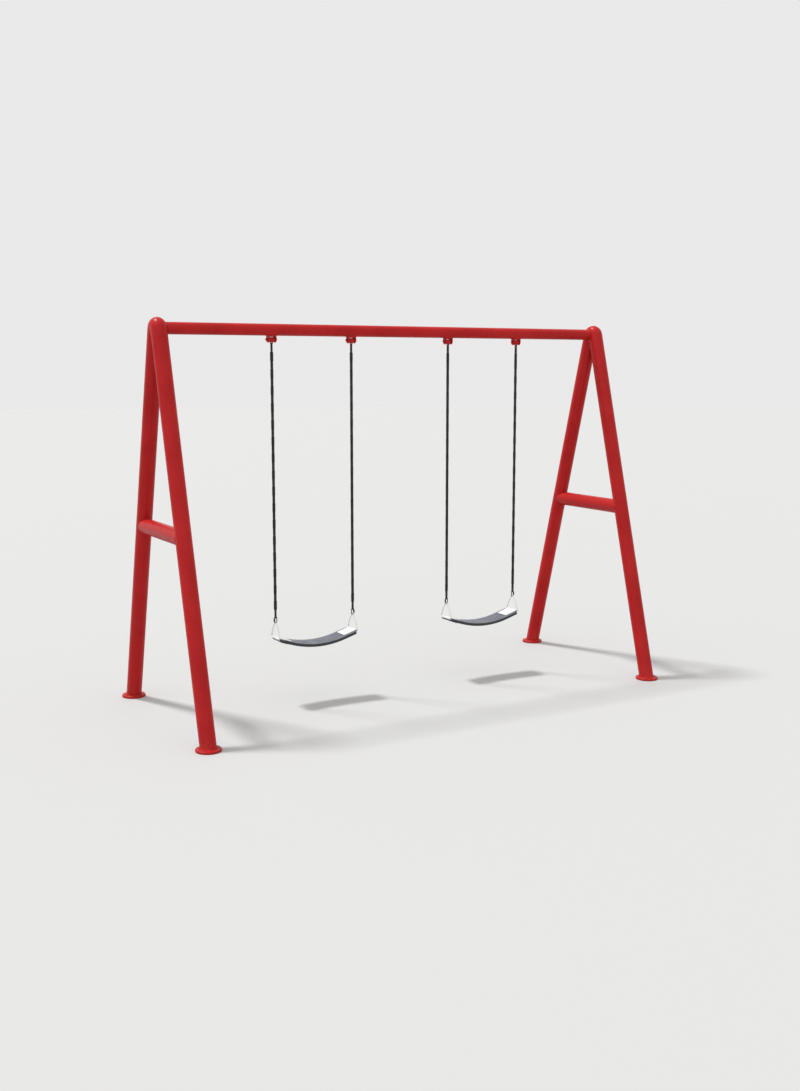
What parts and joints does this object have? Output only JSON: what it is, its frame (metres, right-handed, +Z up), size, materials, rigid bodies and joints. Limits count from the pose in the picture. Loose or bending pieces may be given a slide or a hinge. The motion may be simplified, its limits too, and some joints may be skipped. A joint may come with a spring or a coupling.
{
  "type": "swing set",
  "caption": "Free-standing playground swing set: two round-tube A-frames with cross braces, a top beam, and belt seats hung on chains from bushed pivots.",
  "frame": {"origin": "on the ground, midway between the four feet", "axes": "+X runs along the top beam, -Y is the side the picture is taken from, +Z is up"},
  "size_m": [3.542, 1.566, 2.551],
  "materials": {
    "frame_paint": "glossy red powder coat",
    "flange_paint": "semi-gloss red powder coat",
    "zinc_hardware": "zinc-plated steel",
    "zinc_wire": "bright zinc-plated wire",
    "plate_bright": "bright near-white plated steel",
    "chain_black": "satin black soft coat over steel links",
    "belt_rubber": "matt blue-grey black moulded rubber",
    "bush_nylon": "natural nylon"
  },
  "bodies": {
    "frame": {"leg_left_front": "frame_paint", "foot_flange_left_front": "flange_paint", "leg_left_rear": "frame_paint", "foot_flange_left_rear": "flange_paint", "apex_head_left": "frame_paint", "brace_left": "frame_paint", "leg_right_front": "frame_paint", "foot_flange_right_front": "flange_paint", "leg_right_rear": "frame_paint", "foot_flange_right_rear": "flange_paint", "apex_head_right": "frame_paint", "brace_right": "frame_paint", "top_beam": "frame_paint", "beam_spigot_left": "frame_paint", "beam_screw_left": "zinc_hardware", "beam_spigot_right": "frame_paint", "beam_screw_right": "zinc_hardware", "hanger_bracket_left_a": "frame_paint", "pivot_bolt_left_a": "frame_paint", "pivot_nut_left_a": "frame_paint", "hanger_bracket_left_b": "frame_paint", "pivot_bolt_left_b": "frame_paint", "pivot_nut_left_b": "frame_paint", "hanger_bracket_right_a": "frame_paint", "pivot_bolt_right_a": "frame_paint", "pivot_nut_right_a": "frame_paint", "hanger_bracket_right_b": "frame_paint", "pivot_bolt_right_b": "frame_paint", "pivot_nut_right_b": "frame_paint"},
    "left_hubs": {"hanger_hub_left_a": "frame_paint", "hanger_hub_left_b": "frame_paint", "hub_bush_left_a": "bush_nylon", "hub_bush_left_b": "bush_nylon"},
    "left_chain_a": {"chain_left_a": "chain_black"},
    "left_chain_b": {"chain_left_b": "chain_black"},
    "left_links": {"quick_link_left_a": "chain_black", "quick_link_left_b": "chain_black"},
    "left_seat": {"seat_triangle_left_a": "zinc_wire", "seat_triangle_left_b": "zinc_wire", "end_plate_left_a": "plate_bright", "end_plate_left_b": "plate_bright", "rivet_bar_left_a": "zinc_hardware", "rivet_bar_left_b": "zinc_hardware", "belt_seat_left": "belt_rubber"},
    "right_hubs": {"hanger_hub_right_a": "frame_paint", "hanger_hub_right_b": "frame_paint", "hub_bush_right_a": "bush_nylon", "hub_bush_right_b": "bush_nylon"},
    "right_chain_a": {"chain_right_a": "chain_black"},
    "right_chain_b": {"chain_right_b": "chain_black"},
    "right_links": {"quick_link_right_a": "chain_black", "quick_link_right_b": "chain_black"},
    "right_seat": {"seat_triangle_right_a": "zinc_wire", "seat_triangle_right_b": "zinc_wire", "end_plate_right_a": "plate_bright", "end_plate_right_b": "plate_bright", "rivet_bar_right_a": "zinc_hardware", "rivet_bar_right_b": "zinc_hardware", "belt_seat_right": "belt_rubber"}
  },
  "joints": [
    {"name": "left_swing", "type": "hinge", "parent": "frame", "child": "left_hubs", "pos_m": [-0.643, 0, 2.4225], "axis": [1, 0, 0], "range_deg": [-60, 60]},
    {"name": "left_sway", "type": "hinge", "parent": "left_hubs", "child": "left_chain_a", "pos_m": [-0.9325, 0, 2.3991], "axis": [0, 1, 0], "range_deg": [-8, 8]},
    {"name": "left_sway_b", "type": "hinge", "parent": "left_hubs", "child": "left_chain_b", "pos_m": [-0.3535, 0, 2.3991], "axis": [0, 1, 0], "range_deg": [-8, 8]},
    {"name": "left_seat_level", "type": "hinge", "parent": "left_chain_a", "child": "left_links", "pos_m": [-0.9325, 0, 0.59649], "axis": [0, 1, 0], "range_deg": [-8, 8]},
    {"name": "left_seat_tilt", "type": "hinge", "parent": "left_links", "child": "left_seat", "pos_m": [-0.643, 0, 0.56199], "axis": [1, 0, 0], "range_deg": [-30, 30]},
    {"name": "right_swing", "type": "hinge", "parent": "frame", "child": "right_hubs", "pos_m": [0.698, 0, 2.4225], "axis": [1, 0, 0], "range_deg": [-60, 60]},
    {"name": "right_sway", "type": "hinge", "parent": "right_hubs", "child": "right_chain_a", "pos_m": [0.4085, 0, 2.3991], "axis": [0, 1, 0], "range_deg": [-8, 8]},
    {"name": "right_sway_b", "type": "hinge", "parent": "right_hubs", "child": "right_chain_b", "pos_m": [0.9875, 0, 2.3991], "axis": [0, 1, 0], "range_deg": [-8, 8]},
    {"name": "right_seat_level", "type": "hinge", "parent": "right_chain_a", "child": "right_links", "pos_m": [0.4085, 0, 0.59649], "axis": [0, 1, 0], "range_deg": [-8, 8]},
    {"name": "right_seat_tilt", "type": "hinge", "parent": "right_links", "child": "right_seat", "pos_m": [0.698, 0, 0.56199], "axis": [1, 0, 0], "range_deg": [-30, 30]}
  ],
  "couplings": [
    {"joint": "left_sway_b", "follows": "left_sway", "ratio": 1},
    {"joint": "left_seat_level", "follows": "left_sway", "ratio": -1},
    {"joint": "right_sway_b", "follows": "right_sway", "ratio": 1},
    {"joint": "right_seat_level", "follows": "right_sway", "ratio": -1}
  ]
}
